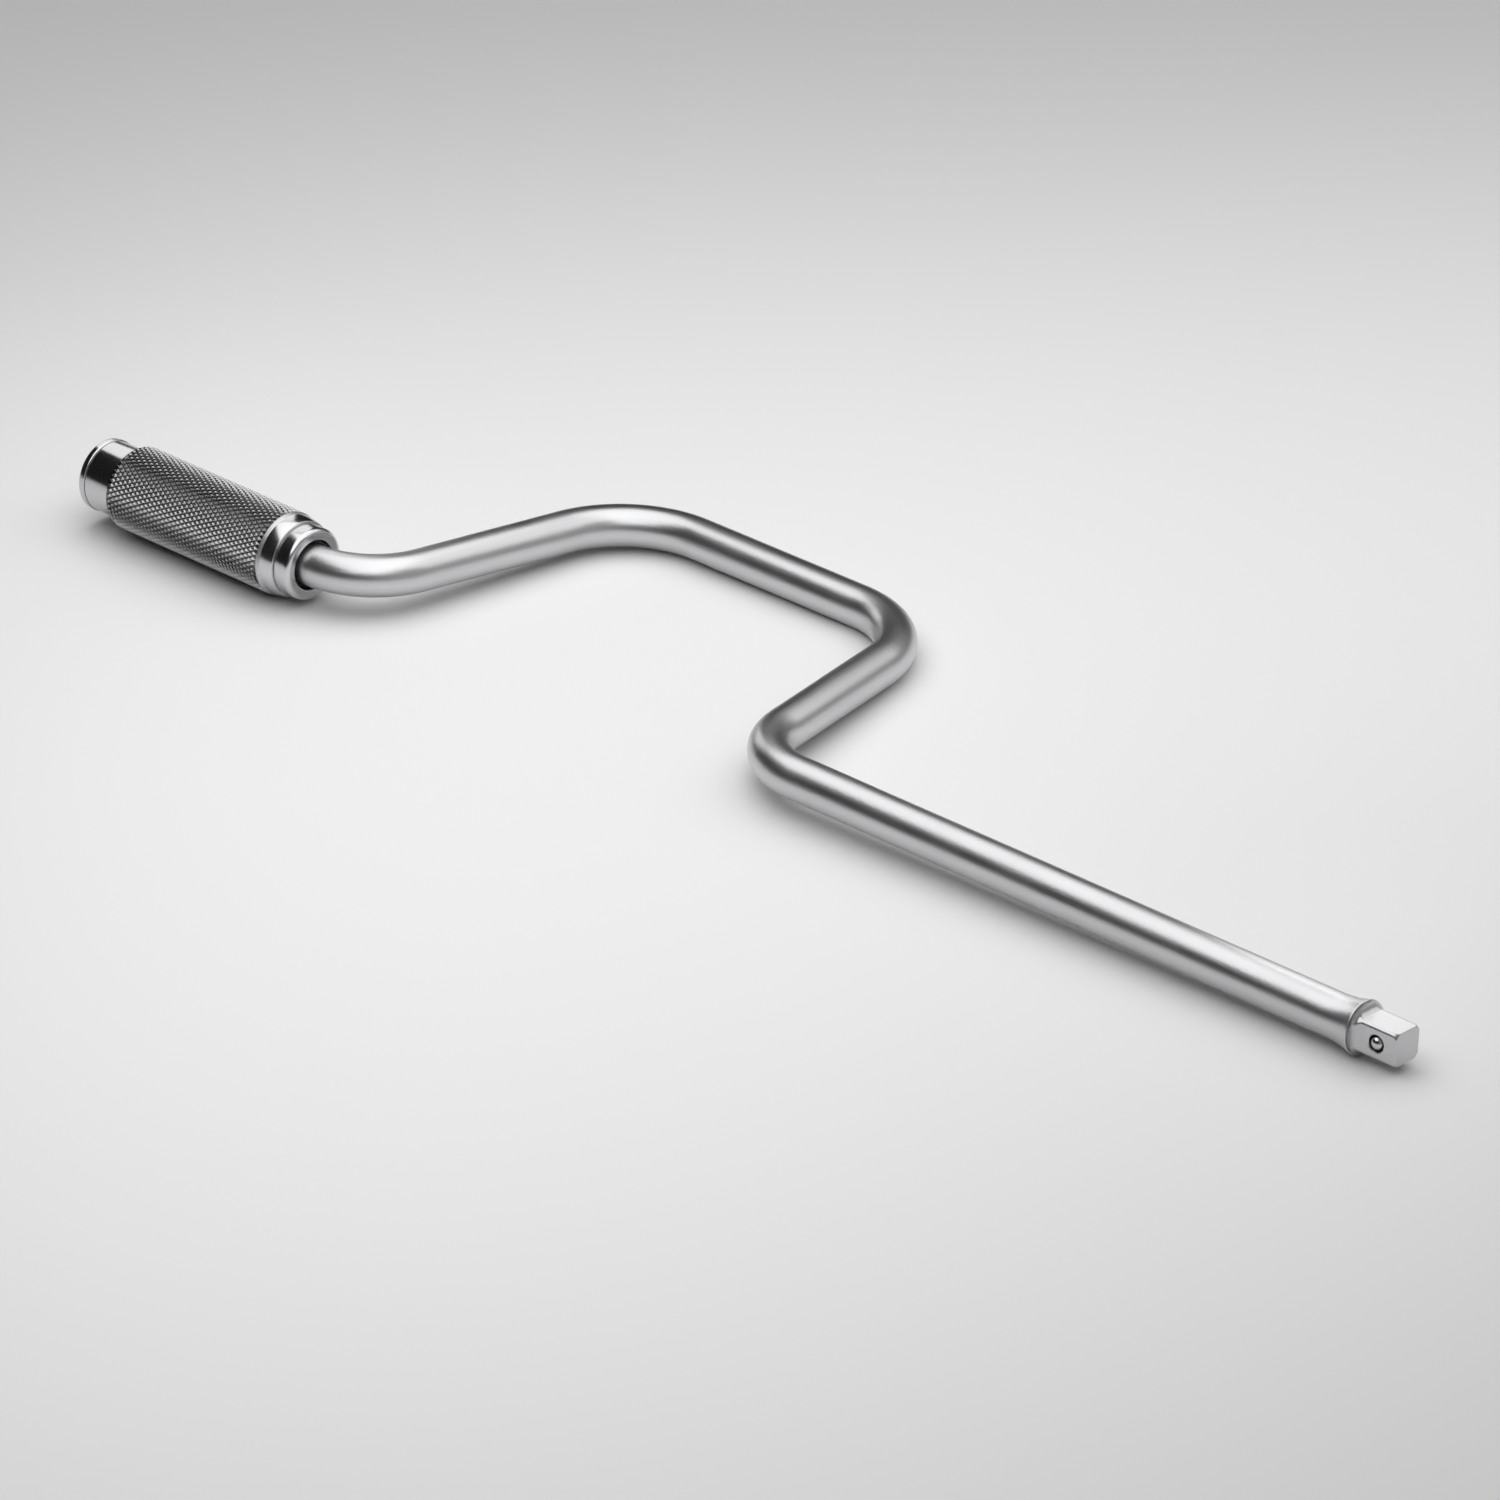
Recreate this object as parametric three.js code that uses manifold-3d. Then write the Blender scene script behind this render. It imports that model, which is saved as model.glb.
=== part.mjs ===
// Speed brace: a bent steel bar with a square drive, a ball catch and a free-turning knurled handle.
// Millimetres. +X runs out of the drive end, +Y towards the crank's grip, +Z up.
// The origin is the centre of the drive square's end face, on the axis that bar and handle share.
import * as THREE from 'three';
import { mergeVertices } from 'three/addons/utils/BufferGeometryUtils.js';
import Module from 'manifold-3d';

// Drive square and the flare behind it
const driveSide = 9.5;
const driveLength = 13.6;
const driveCornerDiameter = 12.7;
const driveTipDiameter = 11.6;
const driveTipTaper = 1;
const driveFillet = 2.4;
const driveRoot = 1.5;
const flareHeight = 1.4;
const flareRimLength = 1.8;
const flareRimRound = 0.6;
const flareBlendLength = 8.4;

// Bent bar
const barDiameter = 12.5;
const shankLength = 232;
const crankThrow = 94;
const legRun = 18;
const gripSpan = 114;
const axisBendRadius = 24;
const gripBendRadius = 31;
const stubLength = 19.2;

// Spindle: the turned-down end of the bar inside the handle
const spindleStep = 1.25;
const spindleShoulder = 11;
const spindleTail = 2.2;
const spindleChamfer = 0.8;

// Handle, front to rear
const collarDiameter = 21.8;
const collarLength = 5.5;
const collarFrontRound = 1.6;
const collarBackChamfer = 0.5;
const collarBoreChamfer = 0.6;
const sleeveDiameter = 25.4;
const taperLength = 4.4;
const taperDrop = 1.2;
const landLength = 1.3;
const landDrop = 0.3;
const knurlLength = 63.2;
const knurlChamfer = 0.4;
const neckDrop = 1.95;
const neckLength = 11;
const rimLength = 2.4;
const rimLip = 0.25;
const rimFrontRound = 0.3;
const rimRearRound = 0.9;
const capSpigotLength = 5.6;
const capSpigotWall = 1.5;
const capFloor = 1.9;

// Bearings inside the handle
const frontBushLength = 14;
const frontBushWall = 4;
const rearBushLength = 12;
const rearBushWall = 2.9;
const sleeveBoreGap = 2;
const frontWasherThickness = 1.5;
const rearWasherThickness = 1.2;
const rearWasherWall = 2.4;
const snapRingThickness = 1;
const snapRingWall = 1.8;
const snapRingOpening = 60;
const snapGrooveDepth = 0.4;

// Ball catch in the near face of the square
const ballDiameter = 4;
const ballProud = 0.75;
const ballFromEnd = 6.5;
const ballMouthLip = 0.35;
const ballMouthDepth = 0.75;
const catchBackWall = 2.1;
const springWire = 0.4;
const springTurns = 4;
const springBoreGap = 0.3;

// Clearances
const pressGap = 0.1;
const runGap = 0.25;
const endGap = 0.2;
const barGap = 1.25;

// Facets
const barSides = 28;
const bendSteps = 9;
const turnedSides = 40;
const arcSteps = 2;
const springSides = 3;
const springStepsPerTurn = 8;
const ballSegments = 18;
const ballRings = 12;

// Radii and stations that follow from the sizes above
const barRadius = barDiameter / 2;
const driveHalf = driveSide / 2;
const spindleRadius = barRadius - spindleStep;
const sleeveRadius = sleeveDiameter / 2;
const neckRadius = sleeveRadius - neckDrop;
const rimRadius = neckRadius + rimLip;
const collarRadius = collarDiameter / 2;
const collarBore = barRadius + barGap;
const bushBore = spindleRadius + runGap;
const frontBushRadius = bushBore + frontBushWall;
const rearBushRadius = bushBore + rearBushWall;
const frontSeatRadius = frontBushRadius + pressGap;
const rearSeatRadius = rearBushRadius + pressGap;
const handleFront = -(shankLength + 2 * legRun + gripSpan + stubLength);

// Stations along the handle, counted rearwards from its front face
const frontWasherStart = spindleShoulder + endGap;
const frontBushStart = frontWasherStart + frontWasherThickness + endGap;
const frontSeatEnd = frontBushStart + frontBushLength + pressGap;
const sleeveStart = collarLength + pressGap;
const landStart = sleeveStart + taperLength;
const knurlStart = landStart + landLength;
const knurlEnd = knurlStart + knurlLength;
const sleeveEnd = knurlEnd + neckLength;
const rimStart = sleeveEnd + pressGap;
const handleLength = rimStart + rimLength;
const capSpigotStart = rimStart - capSpigotLength;
const spindleEnd = capSpigotStart - spindleTail;
const snapRingStart = spindleEnd - spindleTail - snapRingThickness;
const rearWasherStart = snapRingStart - endGap - rearWasherThickness;
const rearBushStart = rearWasherStart - endGap - rearBushLength;

const satinChrome = { color: 0xc6c7ca, metalness: 1, roughness: 0.34 };
const knurledChrome = { color: 0x9b9c9f, metalness: 1, roughness: 0.42 };
const polishedChrome = { color: 0xd4d5d8, metalness: 1, roughness: 0.1 };
const bronze = { color: 0xa9864f, metalness: 1, roughness: 0.45 };
const hardenedSteel = { color: 0x7b7d80, metalness: 1, roughness: 0.38 };
const springSteel = { color: 0x55575a, metalness: 1, roughness: 0.4 };

const wasm = await Module();
wasm.setup();

// A closed geometry as a solid that can be joined and cut
function solid(geometry) {
  geometry.deleteAttribute('normal');
  geometry.deleteAttribute('uv');
  const merged = mergeVertices(geometry);
  return new wasm.Manifold(new wasm.Mesh({
    numProp: 3,
    vertProperties: new Float32Array(merged.attributes.position.array),
    triVerts: new Uint32Array(merged.index.array),
  }));
}

// The solid's surface as a three.js geometry
function surface(body) {
  const mesh = body.getMesh();
  const geometry = new THREE.BufferGeometry();
  geometry.setAttribute('position', new THREE.BufferAttribute(mesh.vertProperties, mesh.numProp));
  geometry.setIndex(new THREE.BufferAttribute(mesh.triVerts, 1));
  return geometry;
}

function piece(name, geometry, finish) {
  const mesh = new THREE.Mesh(geometry, new THREE.MeshStandardMaterial(finish));
  mesh.name = name;
  geometry.computeVertexNormals();
  return mesh;
}

// A turned piece from its half section: x is the radius and y the station, rearwards along -X
function turned(section) {
  return new THREE.LatheGeometry(section.getPoints(arcSteps), turnedSides).rotateZ(Math.PI / 2);
}

// A plain turned ring between two stations
function turnedRing(innerRadius, outerRadius, from, length) {
  const section = new THREE.Path();
  section.moveTo(innerRadius, from);
  section.lineTo(outerRadius, from);
  section.lineTo(outerRadius, from + length);
  section.lineTo(innerRadius, from + length);
  section.lineTo(innerRadius, from);
  return turned(section);
}

// Round sections along a flat centre line, joined into one closed body
function roundBody(rings) {
  const points = [];
  const triangles = [];
  for (const { centre, heading, radius } of rings) {
    const side = new THREE.Vector3(-heading.y, heading.x, 0);
    for (let k = 0; k < barSides; k++) {
      const angle = 2 * Math.PI * k / barSides;
      const point = new THREE.Vector3(centre.x, centre.y, radius * Math.sin(angle));
      points.push(...point.addScaledVector(side, radius * Math.cos(angle)).toArray());
    }
  }
  for (let i = 0; i + 1 < rings.length; i++) {
    for (let k = 0; k < barSides; k++) {
      const a = i * barSides + k;
      const b = i * barSides + (k + 1) % barSides;
      triangles.push(a, b, a + barSides, b, b + barSides, a + barSides);
    }
  }
  const last = (rings.length - 1) * barSides;
  for (let k = 1; k + 1 < barSides; k++) {
    triangles.push(0, k + 1, k, last, last + k, last + k + 1);
  }
  const geometry = new THREE.BufferGeometry();
  geometry.setAttribute('position', new THREE.Float32BufferAttribute(points, 3));
  geometry.setIndex(triangles);
  return geometry;
}

// The bar's centre line through its corners, with an arc of the given radius at each inner corner
function bentRings(corners, radii) {
  const rings = [];
  for (let i = 1; i + 1 < corners.length; i++) {
    const heading = corners[i].clone().sub(corners[i - 1]).normalize();
    const next = corners[i + 1].clone().sub(corners[i]).normalize();
    const turn = Math.atan2(heading.cross(next), heading.dot(next));
    const bend = radii[i - 1];
    const start = corners[i].clone().addScaledVector(heading, -bend * Math.tan(Math.abs(turn) / 2));
    const side = new THREE.Vector2(-heading.y, heading.x).multiplyScalar(Math.sign(turn));
    const hub = start.clone().addScaledVector(side, bend);
    for (let step = 0; step <= bendSteps; step++) {
      const angle = turn * step / bendSteps;
      rings.push({
        centre: start.clone().rotateAround(hub, angle),
        heading: heading.clone().rotateAround(new THREE.Vector2(), angle),
        radius: barRadius,
      });
    }
  }
  return rings;
}

// Rings square to the axis, from a half section of radius and station
function axialRings(section, startX) {
  const heading = new THREE.Vector2(-1, 0);
  return section.map(([radius, station]) => (
    { centre: new THREE.Vector2(startX - station, 0), heading, radius }));
}

// Flare from the square's shoulder down to the bar, a cosine blend behind a rounded rim
function flareRings() {
  const flareRadius = barRadius + flareHeight;
  const section = [
    [flareRadius - flareRimRound, 0], [flareRadius, flareRimRound], [flareRadius, flareRimLength],
  ];
  for (let step = 1; step <= bendSteps; step++) {
    const share = step / bendSteps;
    const height = flareHeight * (1 + Math.cos(Math.PI * share)) / 2;
    section.push([barRadius + height, flareRimLength + flareBlendLength * share]);
  }
  return axialRings(section, -driveLength);
}

// Shoulder, spindle and the snap ring's groove, at stations along the handle
function spindleRings() {
  const grooveRadius = spindleRadius - snapGrooveDepth;
  const grooveStart = snapRingStart - endGap / 2;
  const grooveEnd = snapRingStart + snapRingThickness + endGap / 2;
  return axialRings([
    [barRadius, spindleShoulder],
    [spindleRadius, spindleShoulder],
    [spindleRadius, grooveStart],
    [grooveRadius, grooveStart],
    [grooveRadius, grooveEnd],
    [spindleRadius, grooveEnd],
    [spindleRadius, spindleEnd - spindleChamfer],
    [spindleRadius - spindleChamfer, spindleEnd],
  ], handleFront);
}

function bentBar() {
  const grip = -shankLength - legRun;
  const corners = [
    new THREE.Vector2(-driveLength, 0),
    new THREE.Vector2(-shankLength, 0),
    new THREE.Vector2(grip, crankThrow),
    new THREE.Vector2(grip - gripSpan, crankThrow),
    new THREE.Vector2(grip - gripSpan - legRun, 0),
    new THREE.Vector2(handleFront, 0),
  ];
  const bends = bentRings(corners, [axisBendRadius, gripBendRadius, gripBendRadius, axisBendRadius]);
  return solid(roundBody([...flareRings(), ...bends, ...spindleRings()]));
}

// Turned blank with a tapered tip, then four flats milled by a cutter that leaves a fillet at the shoulder
function driveSquare() {
  const cornerRadius = driveCornerDiameter / 2;
  const shoulderRadius = barRadius + flareHeight - flareRimRound;
  const rise = shoulderRadius - cornerRadius;
  const section = new THREE.Path();
  section.moveTo(0, 0);
  section.lineTo(driveTipDiameter / 2, 0);
  section.lineTo(cornerRadius, driveTipTaper);
  section.lineTo(cornerRadius, driveLength - rise);
  section.absarc(shoulderRadius, driveLength - rise, rise, Math.PI, Math.PI / 2, true);
  section.lineTo(shoulderRadius, driveLength + driveRoot);
  section.lineTo(0, driveLength + driveRoot);
  let square = solid(turned(section));

  const waste = new THREE.Shape();
  waste.moveTo(driveSide, driveHalf);
  waste.lineTo(driveSide, driveSide);
  waste.lineTo(-driveLength, driveSide);
  waste.absarc(driveFillet - driveLength, driveHalf + driveFillet, driveFillet, Math.PI, Math.PI * 1.5);
  waste.closePath();
  for (let side = 0; side < 4; side++) {
    const cutter = new THREE.ExtrudeGeometry(waste, {
      depth: 2 * driveSide, steps: 1, bevelEnabled: false, curveSegments: arcSteps,
    });
    cutter.translate(0, 0, -driveSide).rotateX(side * Math.PI / 2);
    square = square.subtract(solid(cutter));
  }
  return square;
}

// The catch's bore along Y, open at the near face, with a lip that keeps the ball in
function catchBore() {
  const boreRadius = ballDiameter / 2 + runGap;
  const mouthRadius = boreRadius - ballMouthLip;
  return new THREE.LatheGeometry([
    new THREE.Vector2(0, -driveSide),
    new THREE.Vector2(mouthRadius, -driveSide),
    new THREE.Vector2(mouthRadius, -driveHalf),
    new THREE.Vector2(boreRadius, ballMouthDepth - driveHalf),
    new THREE.Vector2(boreRadius, driveHalf - catchBackWall),
    new THREE.Vector2(0, driveHalf - catchBackWall),
  ], turnedSides / 2).translate(-ballFromEnd, 0, 0);
}

function braceBar() {
  const bar = bentBar().add(driveSquare()).subtract(solid(catchBore()));
  return piece('brace_bar', surface(bar), satinChrome);
}

// Height of the ball's centre: it stands proud of the near face
const ballCentre = -driveHalf - ballProud + ballDiameter / 2;

function detentBall() {
  const ball = new THREE.SphereGeometry(ballDiameter / 2, ballSegments, ballRings);
  const mesh = piece('detent_ball', ball, polishedChrome);
  mesh.position.set(-ballFromEnd, ballCentre, 0);
  return mesh;
}

// Coil spring along +Y, from its foot at the origin
class CoilCurve extends THREE.Curve {
  constructor(radius, length) {
    super();
    this.radius = radius;
    this.length = length;
  }

  getPoint(share, target = new THREE.Vector3()) {
    const angle = 2 * Math.PI * springTurns * share;
    return target.set(
      this.radius * Math.cos(angle), this.length * share, this.radius * Math.sin(angle));
  }
}

function detentSpring() {
  const start = ballCentre + ballDiameter / 2 + springWire / 2 + endGap;
  const end = driveHalf - catchBackWall - springWire / 2 - endGap;
  const coilRadius = ballDiameter / 2 + runGap - springBoreGap - springWire / 2;
  const wire = new THREE.Shape();
  wire.absarc(0, 0, springWire / 2, 0, 2 * Math.PI);
  const coil = new THREE.ExtrudeGeometry(wire, {
    steps: springTurns * springStepsPerTurn,
    extrudePath: new CoilCurve(coilRadius, end - start),
    curveSegments: springSides,
  });
  const mesh = piece('detent_spring', coil, springSteel);
  mesh.position.set(-ballFromEnd, start, 0);
  return mesh;
}

// Knurled tube: curved taper at the front, polished neck at the rear, stepped bore for the two bushes
function gripSleeve() {
  const landRadius = sleeveRadius - landDrop;
  const section = new THREE.Path();
  section.moveTo(frontSeatRadius, sleeveStart);
  section.lineTo(sleeveRadius - taperDrop, sleeveStart);
  section.quadraticCurveTo(landRadius, sleeveStart + taperLength / 2, landRadius, landStart);
  section.lineTo(landRadius, knurlStart);
  section.lineTo(sleeveRadius, knurlStart + knurlChamfer);
  section.lineTo(sleeveRadius, knurlEnd - knurlChamfer);
  section.lineTo(sleeveRadius - knurlChamfer, knurlEnd);
  section.lineTo(neckRadius, knurlEnd);
  section.lineTo(neckRadius, sleeveEnd);
  section.lineTo(rearSeatRadius, sleeveEnd);
  section.lineTo(rearSeatRadius, rearBushStart - pressGap);
  section.lineTo(spindleRadius + sleeveBoreGap, rearBushStart - pressGap);
  section.lineTo(spindleRadius + sleeveBoreGap, frontSeatEnd);
  section.lineTo(frontSeatRadius, frontSeatEnd);
  section.lineTo(frontSeatRadius, sleeveStart);
  return piece('grip_sleeve', turned(section), knurledChrome);
}

// Collar: a ring with a rounded front edge, and the spigot that sits in the sleeve's front
function frontCollar() {
  const spigotRadius = frontSeatRadius - pressGap;
  const spigotEnd = frontBushStart - pressGap;
  const section = new THREE.Path();
  section.moveTo(collarBore, collarBoreChamfer);
  section.lineTo(collarBore + collarBoreChamfer, 0);
  section.lineTo(collarRadius - collarFrontRound, 0);
  section.absarc(collarRadius - collarFrontRound, collarFrontRound, collarFrontRound, -Math.PI / 2, 0);
  section.lineTo(collarRadius, collarLength - collarBackChamfer);
  section.lineTo(collarRadius - collarBackChamfer, collarLength);
  section.lineTo(spigotRadius, collarLength);
  section.lineTo(spigotRadius, spigotEnd);
  section.lineTo(collarBore, spigotEnd);
  section.lineTo(collarBore, collarBoreChamfer);
  return piece('front_collar', turned(section), polishedChrome);
}

// Cap: a rim with rounded edges on a hollow spigot that sits in the sleeve's rear
function rearCap() {
  const spigotRadius = rearSeatRadius - pressGap;
  const hollowRadius = spigotRadius - capSpigotWall;
  const section = new THREE.Path();
  section.moveTo(0, handleLength - capFloor);
  section.lineTo(hollowRadius, handleLength - capFloor);
  section.lineTo(hollowRadius, capSpigotStart);
  section.lineTo(spigotRadius, capSpigotStart);
  section.lineTo(spigotRadius, rimStart);
  section.lineTo(rimRadius - rimFrontRound, rimStart);
  section.absarc(rimRadius - rimFrontRound, rimStart + rimFrontRound, rimFrontRound, -Math.PI / 2, 0);
  section.lineTo(rimRadius, handleLength - rimRearRound);
  section.absarc(rimRadius - rimRearRound, handleLength - rimRearRound, rimRearRound, 0, Math.PI / 2);
  section.lineTo(0, handleLength);
  return piece('rear_cap', turned(section), polishedChrome);
}

// Open snap ring, its gap on the -Y side
function retainingRing() {
  const inner = spindleRadius - snapGrooveDepth + pressGap;
  const half = THREE.MathUtils.degToRad(snapRingOpening / 2);
  const outline = new THREE.Shape();
  outline.absarc(0, 0, inner + snapRingWall, half, 2 * Math.PI - half);
  outline.absarc(0, 0, inner, 2 * Math.PI - half, half, true);
  const ring = new THREE.ExtrudeGeometry(outline, {
    depth: snapRingThickness, steps: 1, bevelEnabled: false, curveSegments: turnedSides / 2,
  });
  ring.rotateZ(-Math.PI / 2).rotateY(-Math.PI / 2).translate(-snapRingStart, 0, 0);
  return piece('retaining_ring', ring, springSteel);
}

function handle() {
  const group = new THREE.Group();
  group.position.x = handleFront;
  const washerBore = spindleRadius + runGap;
  const rearWasherRadius = washerBore + rearWasherWall;
  group.add(
    gripSleeve(),
    frontCollar(),
    rearCap(),
    piece('front_bush', turnedRing(bushBore, frontBushRadius, frontBushStart, frontBushLength), bronze),
    piece('rear_bush', turnedRing(bushBore, rearBushRadius, rearBushStart, rearBushLength), bronze),
    piece('front_thrust_washer',
      turnedRing(washerBore, collarBore - runGap, frontWasherStart, frontWasherThickness), hardenedSteel),
    piece('rear_thrust_washer',
      turnedRing(washerBore, rearWasherRadius, rearWasherStart, rearWasherThickness), hardenedSteel),
    retainingRing(),
  );
  return group;
}

const speedBrace = new THREE.Group();
speedBrace.add(braceBar(), detentBall(), detentSpring(), handle());

export default speedBrace;
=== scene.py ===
import math

import bmesh
import bpy
from mathutils import Matrix, Vector


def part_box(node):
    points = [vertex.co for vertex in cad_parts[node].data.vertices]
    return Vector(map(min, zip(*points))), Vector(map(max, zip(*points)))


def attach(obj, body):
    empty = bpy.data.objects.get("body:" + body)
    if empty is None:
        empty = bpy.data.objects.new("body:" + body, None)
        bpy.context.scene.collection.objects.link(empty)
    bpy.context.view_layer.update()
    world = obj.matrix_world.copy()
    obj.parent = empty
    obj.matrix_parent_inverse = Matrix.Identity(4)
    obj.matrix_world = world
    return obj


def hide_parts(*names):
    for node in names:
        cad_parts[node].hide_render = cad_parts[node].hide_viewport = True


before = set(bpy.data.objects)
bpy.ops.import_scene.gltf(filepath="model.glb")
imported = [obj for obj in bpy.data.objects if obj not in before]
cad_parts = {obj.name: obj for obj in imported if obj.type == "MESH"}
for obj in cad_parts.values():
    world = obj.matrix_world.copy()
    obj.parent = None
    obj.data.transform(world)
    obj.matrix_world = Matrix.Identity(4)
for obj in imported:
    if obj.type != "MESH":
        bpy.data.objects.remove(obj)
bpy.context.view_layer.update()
scene = bpy.context.scene
scene.view_settings.view_transform = "Standard"
mm = 0.001  # the part's sizes are given in millimetres, the lamps and the floor's reach in metres
print("frame loaded,", len(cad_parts), "CAD nodes")


def boxMm(node):
    low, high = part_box(node)
    return low / mm, high / mm


# mesh helpers

weldGap = 0.0005
edgeAngle = 34  # degrees between faces, above which an edge stays sharp


def addPiece(name, mesh, material, body, stoodFor):
    piece = bpy.data.objects.new(name, mesh)
    scene.collection.objects.link(piece)
    mesh.materials.append(material)
    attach(piece, body)
    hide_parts(stoodFor)
    return piece


def finishMesh(bm, name, sharpest=edgeAngle):
    bmesh.ops.remove_doubles(bm, verts=bm.verts, dist=weldGap * mm)
    bmesh.ops.recalc_face_normals(bm, faces=bm.faces)
    for face in bm.faces:
        face.smooth = True
    mesh = bpy.data.meshes.new(name)
    bm.to_mesh(mesh)
    bm.free()
    mesh.set_sharp_from_angle(angle=math.radians(sharpest))
    return mesh


def bakeModifiers(piece):
    shape = piece.evaluated_get(bpy.context.evaluated_depsgraph_get())
    mesh = bpy.data.meshes.new_from_object(shape)
    piece.modifiers.clear()
    piece.data = mesh


def quarterTurn(steps):
    return [math.pi / 2 * k / steps for k in range(steps + 1)]


# closed half section of (radius, station, corner round): each corner that has a round becomes an arc
def roundCorners(corners, arcSteps=6):
    section = []
    for i, (radius, station, cornerRound) in enumerate(corners):
        here = Vector((radius, station))
        if cornerRound == 0:
            section.append(here)
            continue
        back = (Vector(corners[i - 1][:2]) - here).normalized()
        ahead = (Vector(corners[(i + 1) % len(corners)][:2]) - here).normalized()
        half = back.angle(ahead) / 2
        hub = here + (back + ahead).normalized() * (cornerRound / math.sin(half))
        start = here + back * (cornerRound / math.tan(half)) - hub
        end = here + ahead * (cornerRound / math.tan(half)) - hub
        # slerp gives directions of length one
        section += [hub + start.slerp(end, k / arcSteps) * cornerRound for k in range(arcSteps + 1)]
    return section


# spins a half section round the X axis, stations counted rearwards from frontX
def turnSection(section, frontX, name, around=144, ring=True, place=Matrix()):
    bm = bmesh.new()
    verts = [bm.verts.new(((frontX - station) * mm, radius * mm, 0)) for radius, station in section]
    last = len(verts) if ring else len(verts) - 1
    edges = [bm.edges.new((verts[i], verts[(i + 1) % len(verts)])) for i in range(last)]
    bmesh.ops.spin(bm, geom=verts + edges, cent=(0, 0, 0), axis=(1, 0, 0),
                   angle=2 * math.pi, steps=around, use_merge=True)
    bm.transform(place)
    return finishMesh(bm, name)


# shader helpers


def addNode(tree, kind, **settings):
    node = tree.nodes.new(kind)
    for key, value in settings.items():
        setattr(node, key, value)
    return node


def startGroup(name, inputs, outputs):
    tree = bpy.data.node_groups.new(name, "ShaderNodeTree")
    for label, (kind, value) in inputs.items():
        socket = tree.interface.new_socket(name=label, in_out="INPUT", socket_type=kind)
        if value is not None:
            socket.default_value = value
    for label, kind in outputs.items():
        tree.interface.new_socket(name=label, in_out="OUTPUT", socket_type=kind)
    return tree, addNode(tree, "NodeGroupInput").outputs, addNode(tree, "NodeGroupOutput").inputs


# fine polishing lines: noise that is stretched by the coordinates fed in
def buildPolishLines():
    tree, given, out = startGroup(
        "polishLines",
        {"Vector": ("NodeSocketVector", None), "Scale": ("NodeSocketFloat", 400.0),
         "Contrast": ("NodeSocketFloat", 0.3)},
        {"Mask": "NodeSocketFloat"})
    noise = addNode(tree, "ShaderNodeTexNoise")
    noise.inputs["Detail"].default_value = 3.0
    noise.inputs["Roughness"].default_value = 0.6
    # the mask spreads the noise about its middle, Contrast to either side
    low = addNode(tree, "ShaderNodeMath", operation="SUBTRACT")
    high = addNode(tree, "ShaderNodeMath", operation="ADD")
    for limit in (low, high):
        limit.inputs[0].default_value = 0.5
        tree.links.new(given["Contrast"], limit.inputs[1])
    spread = addNode(tree, "ShaderNodeMapRange")
    tree.links.new(given["Vector"], noise.inputs["Vector"])
    tree.links.new(given["Scale"], noise.inputs["Scale"])
    tree.links.new(noise.outputs["Fac"], spread.inputs["Value"])
    tree.links.new(low.outputs[0], spread.inputs["From Min"])
    tree.links.new(high.outputs[0], spread.inputs["From Max"])
    tree.links.new(spread.outputs["Result"], out["Mask"])
    return tree


# patches where hands have dulled the plating, in object space
def buildHandMarks():
    tree, given, out = startGroup(
        "handMarks",
        {"Size": ("NodeSocketFloat", 60.0), "Amount": ("NodeSocketFloat", 0.5)},
        {"Mask": "NodeSocketFloat"})
    coords = addNode(tree, "ShaderNodeTexCoord")
    noise = addNode(tree, "ShaderNodeTexNoise")
    noise.inputs["Detail"].default_value = 4.0
    noise.inputs["Distortion"].default_value = 0.6
    ramp = addNode(tree, "ShaderNodeValToRGB")
    ramp.color_ramp.elements[0].position = 0.42
    ramp.color_ramp.elements[1].position = 0.72
    amount = addNode(tree, "ShaderNodeMath", operation="MULTIPLY")
    tree.links.new(coords.outputs["Object"], noise.inputs["Vector"])
    tree.links.new(given["Size"], noise.inputs["Scale"])
    tree.links.new(noise.outputs["Fac"], ramp.inputs["Fac"])
    tree.links.new(ramp.outputs["Color"], amount.inputs[0])
    tree.links.new(given["Amount"], amount.inputs[1])
    tree.links.new(amount.outputs[0], out["Mask"])
    return tree


# edges rubbed bright, or creases for painted shade where Start is above End, from the surface's own
# pointedness
def buildEdgeMask():
    tree, given, out = startGroup(
        "edgeMask",
        {"Start": ("NodeSocketFloat", 0.52), "End": ("NodeSocketFloat", 0.6)},
        {"Mask": "NodeSocketFloat"})
    geometry = addNode(tree, "ShaderNodeNewGeometry")
    spread = addNode(tree, "ShaderNodeMapRange")
    tree.links.new(geometry.outputs["Pointiness"], spread.inputs["Value"])
    tree.links.new(given["Start"], spread.inputs["From Min"])
    tree.links.new(given["End"], spread.inputs["From Max"])
    tree.links.new(spread.outputs["Result"], out["Mask"])
    return tree


polishLines, handMarks, edgeMask = buildPolishLines(), buildHandMarks(), buildEdgeMask()


def startMaterial(name, metallic):
    material = bpy.data.materials.new(name)
    material.use_nodes = True
    tree = material.node_tree
    shader = tree.nodes["Principled BSDF"]
    shader.inputs["Metallic"].default_value = metallic
    return material, tree, shader


def placeGroup(tree, group, **values):
    node = addNode(tree, "ShaderNodeGroup", node_tree=group)
    for label, value in values.items():
        node.inputs[label].default_value = value
    return node


def mapMask(tree, mask, low, high, target):
    spread = addNode(tree, "ShaderNodeMapRange")
    spread.inputs["To Min"].default_value = low
    spread.inputs["To Max"].default_value = high
    tree.links.new(mask, spread.inputs["Value"])
    tree.links.new(spread.outputs["Result"], target)


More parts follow.
